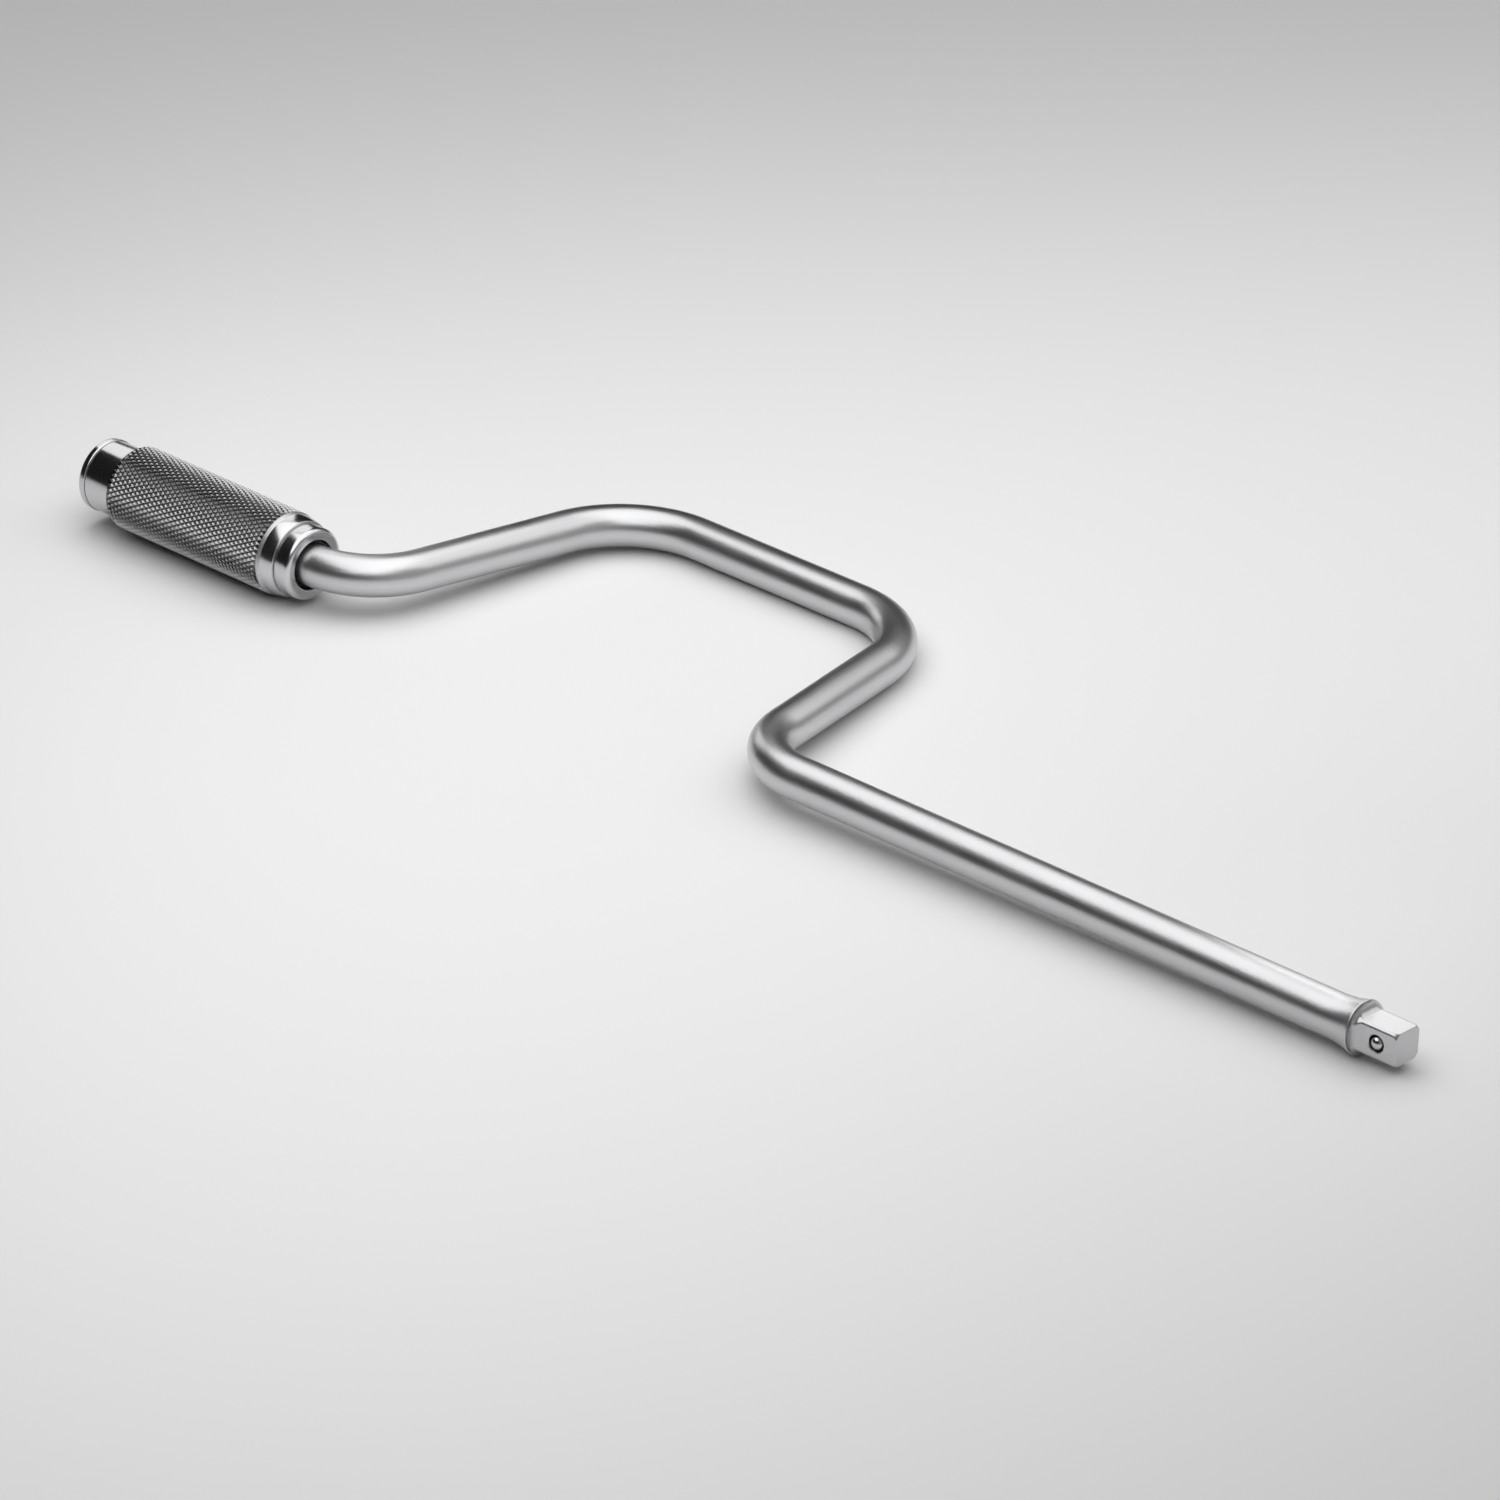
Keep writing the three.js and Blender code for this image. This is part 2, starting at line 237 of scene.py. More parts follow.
# sockets 6, 7 and 2 are the Mix node's colour ones
def mixColour(tree, mask, first, second):
    mix = addNode(tree, "ShaderNodeMix", data_type="RGBA")
    tree.links.new(mask, mix.inputs["Factor"])
    for socket, colour in ((mix.inputs[6], first), (mix.inputs[7], second)):
        if isinstance(colour, tuple):
            socket.default_value = (*colour, 1)
        else:
            tree.links.new(colour, socket)
    return mix.outputs[2]


# first mask times share, plus second mask
def addMasks(tree, first, share, second):
    total = addNode(tree, "ShaderNodeMath", operation="MULTIPLY_ADD")
    total.inputs[1].default_value = share
    tree.links.new(first.outputs["Mask"], total.inputs[0])
    tree.links.new(second.outputs["Mask"], total.inputs[2])
    return total.outputs[0]


bumpDepth = 0.02


def bumpFrom(tree, mask, strength, target):
    bump = addNode(tree, "ShaderNodeBump")
    bump.inputs["Strength"].default_value = strength
    bump.inputs["Distance"].default_value = bumpDepth * mm
    tree.links.new(mask, bump.inputs["Height"])
    tree.links.new(bump.outputs["Normal"], target)


def stretchedCoords(tree, source, scale):
    coords = addNode(tree, "ShaderNodeTexCoord")
    mapping = addNode(tree, "ShaderNodeMapping")
    mapping.inputs["Scale"].default_value = scale
    tree.links.new(coords.outputs[source], mapping.inputs["Vector"])
    return mapping.outputs["Vector"]


# the crease range picks out concave creases by Pointiness, and these get painted shade
plateWear = dict(lineContrast=0.28, lineShare=0.5, grainContrast=0.25,
                 rub=dict(Start=0.53, End=0.66), creaseShade=dict(Start=0.46, End=0.36))


# a plated finish: lines and hand marks in the roughness, rubbed edges and painted shade in the creases in the
# colour, lines and an even grain in the bump
def platedFinish(name, look):
    material, tree, shader = startMaterial(name, 1.0)
    lines = placeGroup(tree, polishLines, Scale=look["lineScale"], Contrast=plateWear["lineContrast"])
    tree.links.new(stretchedCoords(tree, look["coords"], look["stretch"]), lines.inputs["Vector"])
    grain = placeGroup(tree, polishLines, Scale=look["grainScale"], Contrast=plateWear["grainContrast"])
    tree.links.new(addNode(tree, "ShaderNodeTexCoord").outputs["Object"], grain.inputs["Vector"])
    marks = placeGroup(tree, handMarks, Size=look["markSize"], Amount=look["markAmount"])
    rub = placeGroup(tree, edgeMask, **plateWear["rub"])
    creaseShade = placeGroup(tree, edgeMask, **plateWear["creaseShade"])
    tone = mixColour(tree, lines.outputs["Mask"], look["dark"], look["light"])
    tone = mixColour(tree, rub.outputs["Mask"], tone, look["edge"])
    # painted shade: concave creases are darkened towards the dark crease colour
    tone = mixColour(tree, creaseShade.outputs["Mask"], tone, look["creaseShade"])
    tree.links.new(tone, shader.inputs["Base Color"])
    dulled = addMasks(tree, lines, plateWear["lineShare"], marks)
    mapMask(tree, dulled, look["smooth"], look["rough"], shader.inputs["Roughness"])
    bumpFrom(tree, addMasks(tree, lines, look["lineHeight"], grain), look["bump"], shader.inputs["Normal"])
    return material


# each plated finish below has a dark crease colour, which is painted shade for its creases
satinChrome = platedFinish("satinChrome", dict(
    dark=(0.57, 0.572, 0.58), light=(0.63, 0.632, 0.638), edge=(0.7, 0.7, 0.705), creaseShade=(0.1, 0.1, 0.102),
    smooth=0.3, rough=0.4, coords="UV", stretch=(1.0, 0.02, 1.0), lineScale=240.0,
    markSize=28.0, markAmount=0.5, grainScale=1100.0, lineHeight=0.1, bump=0.9))

polishedChrome = platedFinish("polishedChrome", dict(
    dark=(0.58, 0.582, 0.59), light=(0.66, 0.662, 0.67), edge=(0.72, 0.72, 0.725), creaseShade=(0.14, 0.14, 0.142),
    smooth=0.14, rough=0.25, coords="Object", stretch=(1.0, 0.05, 0.05), lineScale=4200.0,
    markSize=90.0, markAmount=0.6, grainScale=2600.0, lineHeight=1.0, bump=0.04))

# turned band at the knurl's front edge, left unpolished
turnedChrome = platedFinish("turnedChrome", dict(
    dark=(0.55, 0.552, 0.56), light=(0.63, 0.632, 0.638), edge=(0.68, 0.68, 0.685), creaseShade=(0.14, 0.14, 0.142),
    smooth=0.42, rough=0.55, coords="Object", stretch=(1.0, 0.05, 0.05), lineScale=2600.0,
    markSize=60.0, markAmount=0.4, grainScale=2600.0, lineHeight=1.0, bump=0.08))


# knurled plating: the grooves darkened with painted shade towards the root, the crests in the plating's light
# tone
def knurledFinish(name, look):
    material, tree, shader = startMaterial(name, 1.0)
    coords = addNode(tree, "ShaderNodeTexCoord")
    split = addNode(tree, "ShaderNodeSeparateXYZ")
    flat = addNode(tree, "ShaderNodeCombineXYZ")
    length = addNode(tree, "ShaderNodeVectorMath", operation="LENGTH")
    tree.links.new(coords.outputs["Object"], split.inputs[0])
    tree.links.new(split.outputs["Y"], flat.inputs["Y"])
    tree.links.new(split.outputs["Z"], flat.inputs["Z"])
    tree.links.new(flat.outputs[0], length.inputs[0])
    height = addNode(tree, "ShaderNodeMapRange")
    height.inputs["From Min"].default_value = look["rootRadius"] * mm
    height.inputs["From Max"].default_value = look["crestRadius"] * mm
    tree.links.new(length.outputs["Value"], height.inputs["Value"])
    # painted shade: the colour runs from the dark groove tone at the root radius up to the crest tone
    tone = mixColour(tree, height.outputs["Result"], look["groove"], look["crest"])
    tree.links.new(tone, shader.inputs["Base Color"])
    marks = placeGroup(tree, handMarks, Size=look["markSize"], Amount=look["markAmount"])
    mapMask(tree, marks.outputs["Mask"], look["smooth"], look["rough"], shader.inputs["Roughness"])
    return material


# the groove colour is painted shade for the knurl's pits
knurledChrome = knurledFinish("knurledChrome", dict(
    groove=(0.19, 0.19, 0.195), crest=(0.56, 0.562, 0.57), rootRadius=12.22, crestRadius=12.68,
    smooth=0.26, rough=0.4, markSize=45.0, markAmount=0.5))

bareWear = dict(stretch=(1.0, 0.1, 0.1), lineContrast=0.25, markSize=160.0, markAmount=0.8)


# bare metals inside the handle and behind the ball: turned or drawn, with a soft mottle
def bareMetal(name, look):
    material, tree, shader = startMaterial(name, 1.0)
    lines = placeGroup(tree, polishLines, Scale=look["lineScale"], Contrast=bareWear["lineContrast"])
    tree.links.new(stretchedCoords(tree, "Object", bareWear["stretch"]), lines.inputs["Vector"])
    marks = placeGroup(tree, handMarks, Size=bareWear["markSize"], Amount=bareWear["markAmount"])
    tone = mixColour(tree, marks.outputs["Mask"], look["light"], look["dark"])
    tree.links.new(tone, shader.inputs["Base Color"])
    mapMask(tree, lines.outputs["Mask"], look["smooth"], look["rough"], shader.inputs["Roughness"])
    bumpFrom(tree, lines.outputs["Mask"], look["bump"], shader.inputs["Normal"])
    return material


oiledBronze = bareMetal("oiledBronze", dict(
    dark=(0.36, 0.25, 0.11), light=(0.58, 0.43, 0.21), smooth=0.32, rough=0.55, lineScale=2600.0, bump=0.2))
groundSteel = bareMetal("groundSteel", dict(
    dark=(0.3, 0.305, 0.31), light=(0.46, 0.465, 0.475), smooth=0.22, rough=0.4, lineScale=3800.0, bump=0.1))
springSteel = bareMetal("springSteel", dict(
    dark=(0.1, 0.1, 0.105), light=(0.24, 0.242, 0.25), smooth=0.3, rough=0.5, lineScale=3000.0, bump=0.1))
print("finishes ready:", len(bpy.data.materials))


# places along the handle, counted rearwards from the collar's front
collarLow, collarHigh = boxMm("front_collar")
sleeveLow, sleeveHigh = boxMm("grip_sleeve")
capLow, capHigh = boxMm("rear_cap")
handleFront = collarHigh.x
sleeveStart, sleeveEnd = handleFront - sleeveHigh.x, handleFront - sleeveLow.x
ringStation = handleFront - boxMm("retaining_ring")[1].x


# bent bar with the drive square, one closed loft
barShape = dict(
    radius=6.25, shank=232.0, crankThrow=94.0, legRun=18.0, gripSpan=114.0,
    axisBend=24.0, gripBend=31.0, bendSteps=30,
    squareHalf=4.75, squareLength=13.6, squareEdge=1.1, flatSteps=22, cornerSteps=8,
    tipRadius=5.8, tipTaper=1.0, tipRunOut=0.1, tipRound=0.3, tipSteps=6, fillet=2.4, filletSteps=12,
    flareHeight=1.4, grooveWidth=0.6, grooveDepth=0.8, grooveSteps=6, rimRound=0.2, rimLength=0.3, rimSteps=5,
    blendLength=9.2, blendSteps=20,
    spindleStep=1.25, shoulderDepth=11.0, shoulderEdge=0.2, slotDepth=0.4, slotLength=1.2, slotPlay=0.1,
    tailChamfer=0.8, uvPerMetre=10)


# the square's outline as (angle, radius), its first point straight below so that the seam is hidden
def squareOutline():
    half, edge = barShape["squareHalf"], barShape["squareEdge"]
    reach = half - edge
    flatSteps = barShape["flatSteps"]
    side = [(half, -reach + 2 * reach * k / flatSteps) for k in range(flatSteps)]
    side += [(reach + edge * math.cos(a), reach + edge * math.sin(a))
             for a in quarterTurn(barShape["cornerSteps"])[:-1]]
    outline = []
    for quarter in range(4):
        turn = Matrix.Rotation(math.pi / 2 * (quarter - 1), 2)
        outline += [turn @ Vector(point) for point in side]
    return [(math.atan2(p.y, p.x), p.length) for p in outline]


def loftBar():
    shape = barShape
    outline = squareOutline()
    angles = [angle for angle, _ in outline]
    square = [radius for _, radius in outline]
    count = len(angles)
    # from the square's spacing to the round bar's even one, the short way round
    evening = [(angles[0] + 2 * math.pi * k / count - angle + math.pi) % (2 * math.pi) - math.pi
               for k, angle in enumerate(angles)]
    rings = []

    def sectionRing(centre, heading, radii, station=0.0, even=1.0):
        side = Vector((-heading.y, heading.x, 0))
        ring = []
        for k in range(count):
            angle = angles[k] + evening[k] * even
            point = Vector((centre.x, centre.y, radii[k] * math.sin(angle)))
            point += side * (radii[k] * math.cos(angle))
            ring.append(point + Vector((heading.x, heading.y, 0)) * station)
        rings.append(ring)

    rearwards = Vector((-1, 0))

    def axialRing(radii, station, even=0.0, origin=Vector((0, 0))):
        radii = radii if isinstance(radii, list) else [radii] * count
        sectionRing(origin, rearwards, radii, station, even)

    # tip: corners turned to a taper, the end edge softened all round
    reach = max(square)
    tipRise = (reach - shape["tipRadius"]) / shape["tipTaper"]

    def tipRadii(station, drop=0.0):
        return [min(r, shape["tipRadius"] + tipRise * station) - drop for r in square]

    soft = shape["tipRound"]
    for a in quarterTurn(shape["rimSteps"]):
        station = soft * (1 - math.cos(a))
        axialRing(tipRadii(station, soft * (1 - math.sin(a))), station)
    for k in range(1, shape["tipSteps"] + 1):
        station = soft + (shape["tipTaper"] + shape["tipRunOut"] - soft) * k / shape["tipSteps"]
        axialRing(tipRadii(station), station)
    # flats run out in a fillet that meets the round shoulder
    flare = shape["radius"] + shape["flareHeight"]
    rim = shape["rimRound"]
    rise = flare - rim - reach
    for a in quarterTurn(shape["filletSteps"]):
        station = shape["squareLength"] - shape["fillet"] * (1 - math.sin(a))
        grow = 1 + shape["fillet"] * (1 - math.cos(a)) / shape["squareHalf"]
        into = max(0.0, 1 - (shape["squareLength"] - station) / rise)
        blank = reach + rise * (1 - math.sqrt(1 - into * into))
        axialRing([min(r * grow, blank) for r in square], station)
    # fine groove, then rim and flare
    for k in range(1, shape["grooveSteps"]):
        a = math.pi * k / shape["grooveSteps"]
        axialRing(flare - rim - shape["grooveDepth"] * math.sin(a),
                  shape["squareLength"] + shape["grooveWidth"] * (1 - math.cos(a)) / 2)
    rimStart = shape["squareLength"] + shape["grooveWidth"]
    for a in quarterTurn(shape["rimSteps"]):
        axialRing(flare - rim * (1 - math.sin(a)), rimStart + rim * (1 - math.cos(a)))
    for k in range(shape["blendSteps"] + 1):
        share = k / shape["blendSteps"]
        axialRing(shape["radius"] + shape["flareHeight"] * (1 - share) ** 2,
                  rimStart + shape["rimLength"] + shape["blendLength"] * share, share)
    # four bends of the crank
    grip = -shape["shank"] - shape["legRun"]
    corners = [Vector(corner) for corner in (
        (0, 0), (-shape["shank"], 0), (grip, shape["crankThrow"]),
        (grip - shape["gripSpan"], shape["crankThrow"]), (grip - shape["gripSpan"] - shape["legRun"], 0),
        (handleFront, 0))]
    bends = (shape["axisBend"], shape["gripBend"], shape["gripBend"], shape["axisBend"])
    for i, bend in enumerate(bends, 1):
        heading = (corners[i] - corners[i - 1]).normalized()
        ahead = (corners[i + 1] - corners[i]).normalized()
        turn = math.atan2(heading.cross(ahead), heading.dot(ahead))
        start = corners[i] - heading * bend * math.tan(abs(turn) / 2)
        hub = start + Vector((-heading.y, heading.x)) * math.copysign(bend, turn)
        for k in range(shape["bendSteps"] + 1):
            swing = Matrix.Rotation(turn * k / shape["bendSteps"], 2)
            sectionRing(hub + swing @ (start - hub), swing @ heading, [shape["radius"]] * count)
    # inside the handle: shoulder, spindle, the snap ring's slot, chamfered tail
    shoulder, edge = shape["shoulderDepth"], shape["shoulderEdge"]
    spindle = shape["radius"] - shape["spindleStep"]
    slotFloor = spindle - shape["slotDepth"]
    slotStart = ringStation - shape["slotPlay"]
    slotEnd = slotStart + shape["slotLength"]
    tail = handleFront - boxMm("brace_bar")[0].x
    chamfer = shape["tailChamfer"]
    for radius, station in (
            (shape["radius"], shoulder - edge), (shape["radius"] - edge, shoulder), (spindle, shoulder),
            (spindle, slotStart), (slotFloor, slotStart), (slotFloor, slotEnd), (spindle, slotEnd),
            (spindle, tail - chamfer), (spindle - chamfer, tail)):
        axialRing(radius, station, 1.0, Vector((handleFront, 0)))
    return rings


# skins the rings, with a UV that runs round the bar and along it
def makeBar():
    rings = loftBar()
    count = len(rings[0])
    bm = bmesh.new()
    uv = bm.loops.layers.uv.new("alongBar")
    perMetre = barShape["uvPerMetre"]
    girth = 2 * math.pi * barShape["radius"]
    along = [0.0]
    for before, after in zip(rings, rings[1:]):
        step = sum(after, Vector()) / count - sum(before, Vector()) / count
        along.append(along[-1] + step.length)
    grid = [[bm.verts.new(point * mm) for point in ring] for ring in rings]
    for i in range(len(rings) - 1):
        for k in range(count):
            after = (k + 1) % count
            face = bm.faces.new((grid[i][k], grid[i][after], grid[i + 1][after], grid[i + 1][k]))
            spots = ((k, i), (k + 1, i), (k + 1, i + 1), (k, i + 1))
            for loop, (column, row) in zip(face.loops, spots):
                loop[uv].uv = (girth * column / count * mm * perMetre, along[row] * mm * perMetre)
    for ring in (grid[0], grid[-1]):
        for loop in bm.faces.new(ring).loops:
            loop[uv].uv = (loop.vert.co.y * perMetre, loop.vert.co.z * perMetre)
    return finishMesh(bm, "braceBar")


# ball catch: a mouth that narrows to a short lip, the bore behind it, and the ball
catchShape = dict(
    ballRadius=2.0, ballSteps=36, proud=0.75, fromEnd=6.5, around=64,
    mouthRadius=2.65, mouthEase=0.12, mouthAbove=0.02, mouthBelow=0.06, mouthDepth=0.22,
    lipRadius=2.42, lipLength=0.12, boreRadius=2.5, boreDepth=0.5, backWall=2.1, cutterReach=3.0)
toBallAxis = Matrix.Translation((-catchShape["fromEnd"] * mm, 0, 0)) @ Matrix.Rotation(math.pi / 2, 4, "Z")


def turnCatch(section, name):
    return turnSection(section, 0, name, around=catchShape["around"], ring=False, place=toBallAxis)


def cutBallHole(bar):
    shape = catchShape
    half = barShape["squareHalf"]
    outer = shape["mouthRadius"] + shape["mouthEase"]
    top = half + shape["cutterReach"]
    lip = half - shape["mouthDepth"]
    bottom = shape["backWall"] - half
    section = [Vector(spot) for spot in (
        (0, top), (outer, top), (outer, half + shape["mouthAbove"]),
        (shape["mouthRadius"], half - shape["mouthBelow"]),
        (shape["lipRadius"], lip), (shape["lipRadius"], lip - shape["lipLength"]),
        (shape["boreRadius"], lip - shape["boreDepth"]), (shape["boreRadius"], bottom), (0, bottom))]
    cutter = bpy.data.objects.new("ballHole", turnCatch(section, "ballHole"))
    scene.collection.objects.link(cutter)
    cut = bar.modifiers.new("ballHole", "BOOLEAN")
    cut.object, cut.operation, cut.solver = cutter, "DIFFERENCE", "EXACT"
    bakeModifiers(bar)
    bpy.data.objects.remove(cutter)
    bar.data.set_sharp_from_angle(angle=math.radians(edgeAngle))
    weight = bar.modifiers.new("evenFlats", "WEIGHTED_NORMAL")
    weight.keep_sharp = True
    bakeModifiers(bar)


def makeBall():
    radius, steps = catchShape["ballRadius"], catchShape["ballSteps"]
    centre = barShape["squareHalf"] + catchShape["proud"] - radius
    arc = [math.pi * k / steps for k in range(steps + 1)]
    return turnCatch([Vector((radius * math.sin(a), centre + radius * math.cos(a))) for a in arc], "catchBall")


braceBar = addPiece("braceBar", makeBar(), satinChrome, "bar", "brace_bar")
cutBallHole(braceBar)
print("bar lofted:", len(braceBar.data.polygons), "faces")
addPiece("catchBall", makeBall(), polishedChrome, "detent", "detent_ball")


# handle: collar, sleeve with its land and knurled band, cap
collarShape = dict(ring=5.5, frontRound=1.5, boreRound=0.5, backRound=0.35, tailRound=0.2, arcSteps=8,
                   bore=7.5, seat=9.25)


def makeCollar():
    shape = collarShape
    outer = collarHigh.y
    back = handleFront - collarLow.x
    corners = [
        (shape["bore"], 0, shape["boreRound"]), (outer, 0, shape["frontRound"]),
        (outer, shape["ring"], shape["backRound"]), (shape["seat"], shape["ring"], 0),
        (shape["seat"], back, shape["tailRound"]), (shape["bore"], back, shape["tailRound"])]
    return turnSection(roundCorners(corners, shape["arcSteps"]), handleFront, "frontCollar")


sleeveShape = dict(
    seat=9.35, rearSeat=8.25, bore=7.0, bushPlay=0.1, edge=0.2, taper=4.4, taperDrop=1.2, taperSteps=10,
    landDrop=0.5, knurlDrop=0.08, landRound=0.15, knurlStart=11.3, knurlLength=63.2, wallUnder=0.03,
    neckRadius=10.75, neckEdge=0.45)
knurlShape = dict(starts=50, rows=42, depth=0.5, crestShare=0.34, wallRadius=12.05, sharpest=12)


def makeSleeve():
    shape = sleeveShape
    front = sleeveHigh.y - shape["taperDrop"]
    land = sleeveHigh.y - shape["landDrop"]
    wall = knurlShape["wallRadius"] - shape["wallUnder"]
    knurlEnd = shape["knurlStart"] + shape["knurlLength"]
    bushRear = handleFront - boxMm("front_bush")[0].x + shape["bushPlay"]
    rearStep = handleFront - boxMm("rear_bush")[1].x - shape["bushPlay"]
    taper = []
    for k in range(1, shape["taperSteps"] + 1):  # quadratic swell from the front edge up to the land
        t = k / shape["taperSteps"]
        radius = (1 - t) ** 2 * front + 2 * t * (1 - t) * land + t * t * land
        taper.append((radius, sleeveStart + shape["taper"] * t, 0))
    corners = [
        (shape["seat"], sleeveStart, 0), (front, sleeveStart, shape["edge"]), *taper,
        (wall, sleeveStart + shape["taper"], 0), (wall, knurlEnd, 0), (shape["neckRadius"], knurlEnd, 0),
        (shape["neckRadius"], sleeveEnd, shape["neckEdge"]), (shape["rearSeat"], sleeveEnd, 0),
        (shape["rearSeat"], rearStep, 0), (shape["bore"], rearStep, 0),
        (shape["bore"], bushRear, 0), (shape["seat"], bushRear, 0)]
    return turnSection(roundCorners(corners), handleFront, "sleeveTube")


# narrow band between the taper and the knurl
def makeLand():
    shape = sleeveShape
    start = sleeveStart + shape["taper"]
    inner = knurlShape["wallRadius"]
    corners = [
        (inner, start, 0), (sleeveHigh.y - shape["landDrop"], start, 0),
        (sleeveHigh.y - shape["knurlDrop"], shape["knurlStart"], shape["landRound"]),
        (inner, shape["knurlStart"], 0)]
    return turnSection(roundCorners(corners), handleFront, "knurlLand")


# diamond knurl: pits on a checkered lattice, each crest a small flat with four sloping sides
def makeKnurl():
    shape = knurlShape
    crest = sleeveHigh.y
    root = crest - shape["depth"]
    columns = 2 * shape["starts"]
    rows = shape["rows"]
    pitch = sleeveShape["knurlLength"] / rows
    bm = bmesh.new()

    def spot(radius, column, row):
        angle = 2 * math.pi * column / columns
        x = handleFront - sleeveShape["knurlStart"] - row * pitch
        return bm.verts.new((x * mm, radius * math.cos(angle) * mm, radius * math.sin(angle) * mm))

    pits = {(m, n): spot(root, m, n) for n in range(rows + 1) for m in range(n % 2, columns, 2)}
    cut = shape["crestShare"]
    for n in range(1, rows):
        for m in range((n + 1) % 2, columns, 2):
            left, right = (m - 1) % columns, (m + 1) % columns
            foot = (pits[right, n], pits[m, n + 1], pits[left, n], pits[m, n - 1])
            top = [spot(crest, m + cut * du, n + cut * dv) for du, dv in ((1, 0), (0, 1), (-1, 0), (0, -1))]
            bm.faces.new(top)
            for k in range(4):
                bm.faces.new((foot[k], foot[(k + 1) % 4], top[(k + 1) % 4], top[k]))
    # both ends closed by half diamonds and a wall down to the tube
    ends = []
    for n, inner in ((0, 1), (rows, rows - 1)):
        wall = [spot(shape["wallRadius"], m, n) for m in range(0, columns, 2)]
        for k, m in enumerate(range(0, columns, 2)):
            after = (m + 2) % columns
            bm.faces.new((pits[m, n], pits[after, n], pits[m + 1, inner]))
            bm.faces.new((pits[m, n], pits[after, n], wall[(k + 1) % len(wall)], wall[k]))
        ends.append(wall)
    front, rear = ends
    for k in range(len(front)):
        after = (k + 1) % len(front)
        bm.faces.new((front[k], front[after], rear[after], rear[k]))
    return finishMesh(bm, "knurlBand", shape["sharpest"])


capShape = dict(play=0.1, spigotWall=1.5, spigotRound=0.2, mouthRound=0.15, floorThickness=1.9, floorRound=0.4,
                frontRound=0.45, rearRound=0.9)


def makeCap():
    shape = capShape
    outer = capHigh.y
    front = handleFront - capHigh.x
    end = handleFront - capLow.x
    rim = sleeveEnd + shape["play"]
    spigot = sleeveShape["rearSeat"] - shape["play"]
    hollow = spigot - shape["spigotWall"]
    inside = end - shape["floorThickness"]
    corners = [
        (0, inside, 0), (hollow, inside, shape["floorRound"]), (hollow, front, shape["mouthRound"]),
        (spigot, front, shape["spigotRound"]), (spigot, rim, 0),
        (outer, rim, shape["frontRound"]), (outer, end, shape["rearRound"]), (0, end, 0)]
    return turnSection(roundCorners(corners), handleFront, "rearCap", ring=False)


addPiece("frontCollar", makeCollar(), polishedChrome, "handle", "front_collar")
addPiece("sleeveTube", makeSleeve(), polishedChrome, "handle", "grip_sleeve")
addPiece("knurlLand", makeLand(), turnedChrome, "handle", "grip_sleeve")
addPiece("knurlBand", makeKnurl(), knurledChrome, "handle", "grip_sleeve")
addPiece("rearCap", makeCap(), polishedChrome, "handle", "rear_cap")
print("handle turned and knurled")

# inner pieces keep their CAD shape
innerFinish = dict(front_bush=oiledBronze, rear_bush=oiledBronze, front_thrust_washer=groundSteel,
                   rear_thrust_washer=groundSteel, retaining_ring=springSteel, detent_spring=springSteel)
for node, finish in innerFinish.items():
    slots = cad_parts[node].data.materials
    slots.clear()
    slots.append(finish)


# floor under the three places where the brace rests: flare, grip and sleeve
stageLook = dict(floorColour=(0.68, 0.68, 0.684), floorRoughness=0.6, floorSheen=0.2, floorReach=4.0,
                 sag=0.02, flareInset=2.0, sleeveInset=0.4)


def makeFloor():
    look = stageLook
    flare = Vector((-barShape["squareLength"] - look["flareInset"], 0,
                    -barShape["radius"] - barShape["flareHeight"]))
    grip = Vector((-barShape["shank"] - barShape["legRun"] - barShape["gripSpan"] / 2,
                   barShape["crankThrow"], -barShape["radius"]))
    sleeve = Vector((handleFront - sleeveShape["knurlStart"] - look["sleeveInset"], 0, -sleeveHigh.y))
    up = (sleeve - flare).cross(grip - flare).normalized()
    up = up if up.z > 0 else -up
    across = up.cross(Vector((1, 0, 0))).normalized()
    along = across.cross(up)
    middle = grip * mm - up * look["sag"] * mm
    reach = look["floorReach"]
    bm = bmesh.new()
    bm.faces.new([bm.verts.new(middle + along * x * reach + across * y * reach)
                  for x, y in ((-1, -1), (1, -1), (1, 1), (-1, 1))])
    bmesh.ops.recalc_face_normals(bm, faces=bm.faces)
    mesh = bpy.data.meshes.new("studioFloor")
    bm.to_mesh(mesh)
    bm.free()
    floor = bpy.data.objects.new("studioFloor", mesh)
    scene.collection.objects.link(floor)
    material, _, shader = startMaterial("paleFloor", 0.0)
    shader.inputs["Base Color"].default_value = (*look["floorColour"], 1)
    shader.inputs["Roughness"].default_value = look["floorRoughness"]
    shader.inputs["Specular IOR Level"].default_value = look["floorSheen"]
    mesh.materials.append(material)


# camera at the photograph's angle, tilted with the floor
cameraLook = dict(lens=187.2, sensor=36.0, farEnd=50.0, azimuth=43.29, elevation=27.82, distance=2130.0,
                  target=(-232.9, 3.05, 0.0), tilt=2.578)


def makeCamera():
    look = cameraLook
    azimuth, elevation = math.radians(look["azimuth"]), math.radians(look["elevation"])
    away = Vector((math.sin(azimuth) * math.cos(elevation), -math.cos(azimuth) * math.cos(elevation),
                   math.sin(elevation)))
    right = Vector((math.cos(azimuth), math.sin(azimuth), 0))
    up = away.cross(right)
    turn = Matrix((right, up, away)).transposed().to_4x4()
    place = Matrix.Translation((Vector(look["target"]) + away * look["distance"]) * mm)
    data = bpy.data.cameras.new("photoCamera")
    data.lens = look["lens"]
    data.sensor_width = look["sensor"]
    data.clip_end = look["farEnd"]
    camera = bpy.data.objects.new("photoCamera", data)
    camera.matrix_world = Matrix.Rotation(math.radians(look["tilt"]), 4, "X") @ place @ turn
    scene.collection.objects.link(camera)
    scene.camera = camera


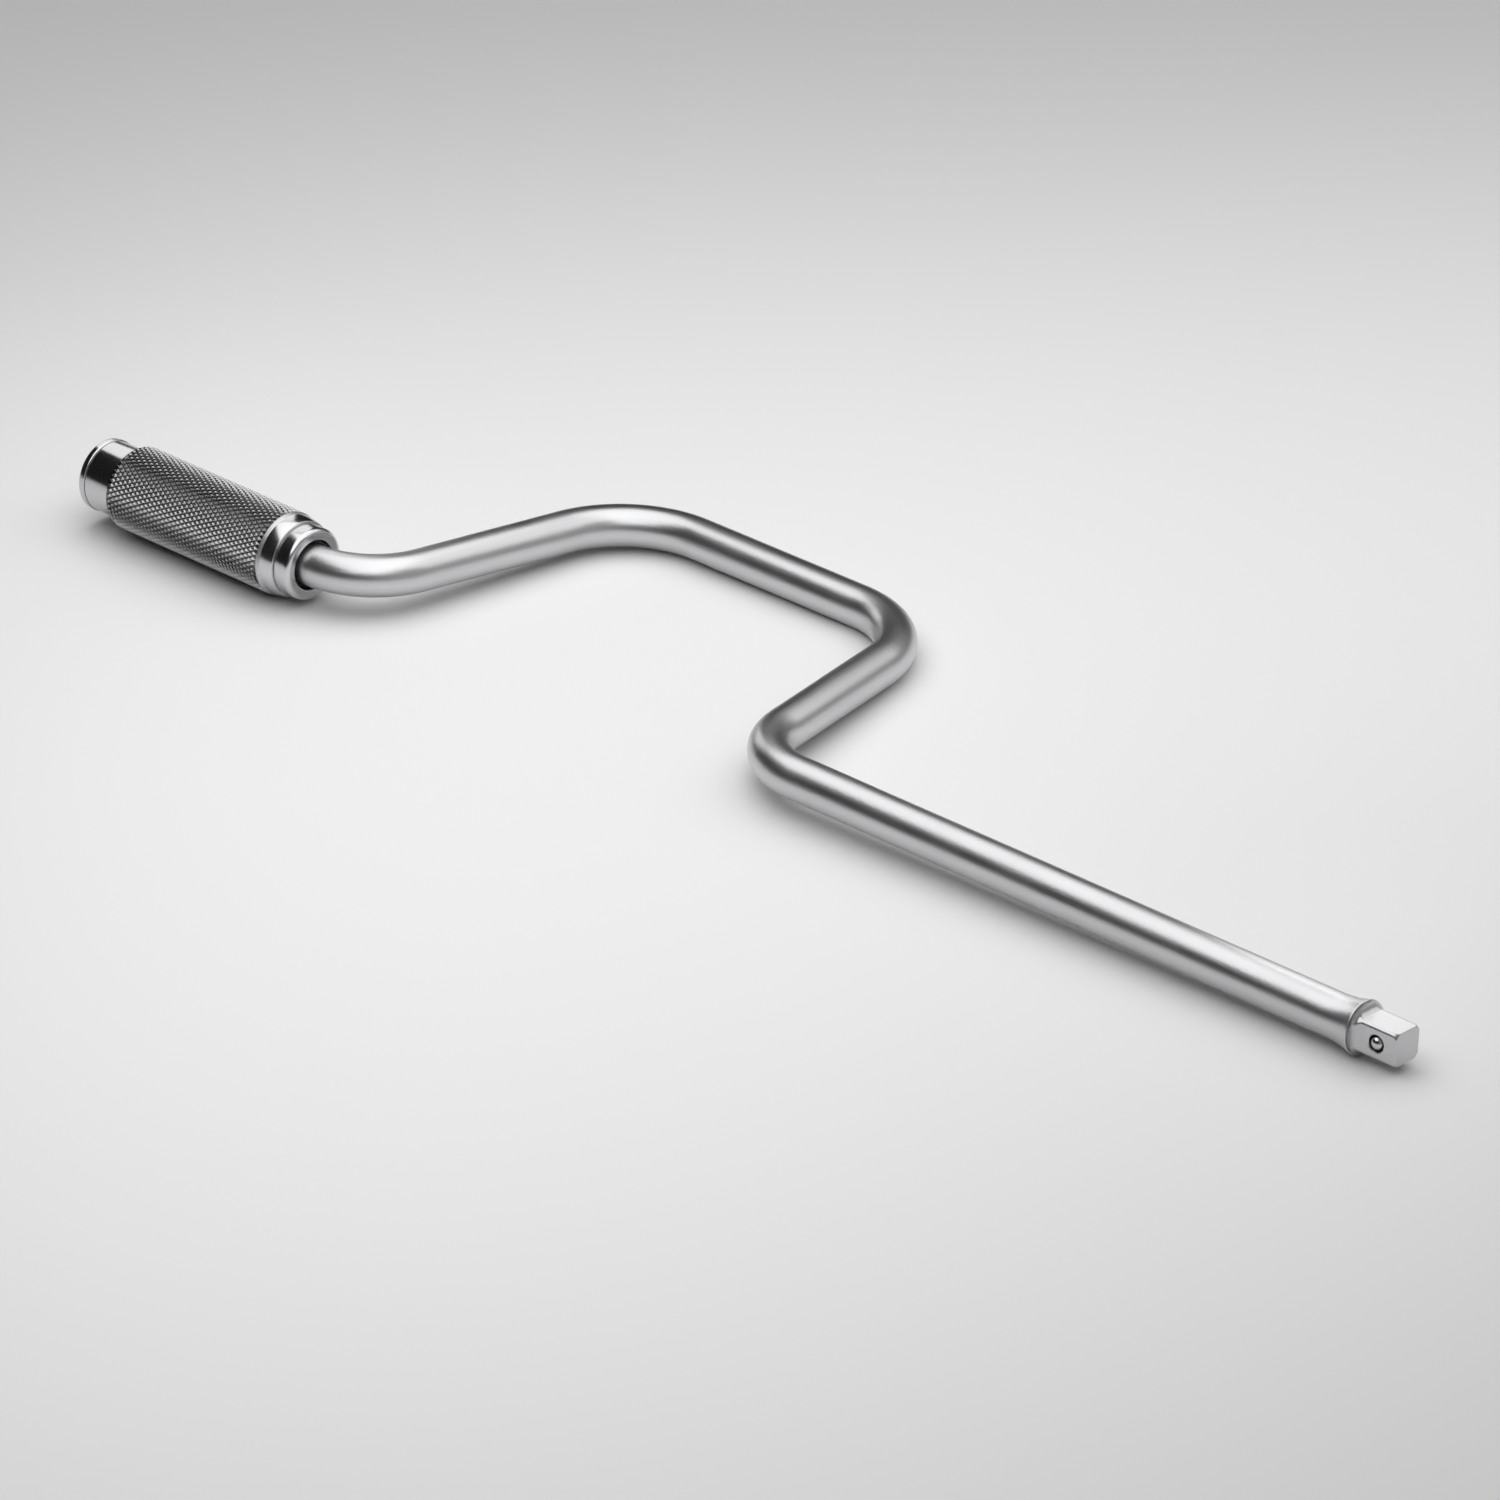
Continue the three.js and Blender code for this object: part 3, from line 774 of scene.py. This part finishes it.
# two softboxes hung low over the brace, square to the camera, and two small cards that only the chrome shows;
# the ceiling lamp evens out the floor and stays out of the chrome; the room is dim, lighter on the right
lightLook = dict(
    softboxes=dict(
        mainSoftbox=dict(at=(-0.307, -0.101, 0.33), size=(0.395, 0.775), tone=1.55),
        sideSoftbox=dict(at=(-0.047, 0.382, 0.33), size=(0.645, 0.5), tone=0.92)),
    cards=dict(
        handleCard=dict(at=(-0.584, 0.089, 0.119), size=(0.15, 0.155), tone=1.2, aim=(-0.463, -0.031, 0.02)),
        driveCard=dict(at=(-0.08, 0.08, 0.0575), size=(0.07, 0.07), tone=1.2, aim=(-0.007, 0.0, 0.005))),
    ceiling=dict(at=(-0.25, 0.05, 2.6), size=(5.0, 5.0), tone=0.75),
    lightSide=(0.85, 0.35, 0.4), darkTone=0.012, lightTone=0.35)


def makeLamp(name, look):
    width, depth = look["size"]
    data = bpy.data.lights.new(name, "AREA")
    data.shape = "RECTANGLE"
    data.size, data.size_y = width, depth
    data.energy = look["tone"] * math.pi * width * depth
    lamp = bpy.data.objects.new(name, data)
    lamp.location = look["at"]
    lamp.visible_camera = False
    scene.collection.objects.link(lamp)
    return lamp


def makeLights():
    for name, look in lightLook["softboxes"].items():
        makeLamp(name, look).rotation_euler.z = math.radians(cameraLook["azimuth"])
    for name, look in lightLook["cards"].items():
        card = makeLamp(name, look)
        card.rotation_euler = (card.location - Vector(look["aim"])).to_track_quat("Z", "Y").to_euler()
        card.visible_diffuse = False
    makeLamp("ceilingLamp", lightLook["ceiling"]).visible_glossy = False


def makeRoom():
    world = bpy.data.worlds.new("studioRoom")
    world.use_nodes = True
    scene.world = world
    tree = world.node_tree
    coords = addNode(tree, "ShaderNodeTexCoord")
    facing = addNode(tree, "ShaderNodeVectorMath", operation="DOT_PRODUCT")
    facing.inputs[1].default_value = Vector(lightLook["lightSide"]).normalized()
    spread = addNode(tree, "ShaderNodeMapRange", interpolation_type="SMOOTHSTEP")
    spread.inputs["To Min"].default_value = lightLook["darkTone"]
    spread.inputs["To Max"].default_value = lightLook["lightTone"]
    tree.links.new(coords.outputs["Generated"], facing.inputs[0])
    tree.links.new(facing.outputs["Value"], spread.inputs["Value"])
    tree.links.new(spread.outputs["Result"], tree.nodes["Background"].inputs["Color"])


makeFloor()
makeCamera()
makeLights()
makeRoom()
print("studio lit")
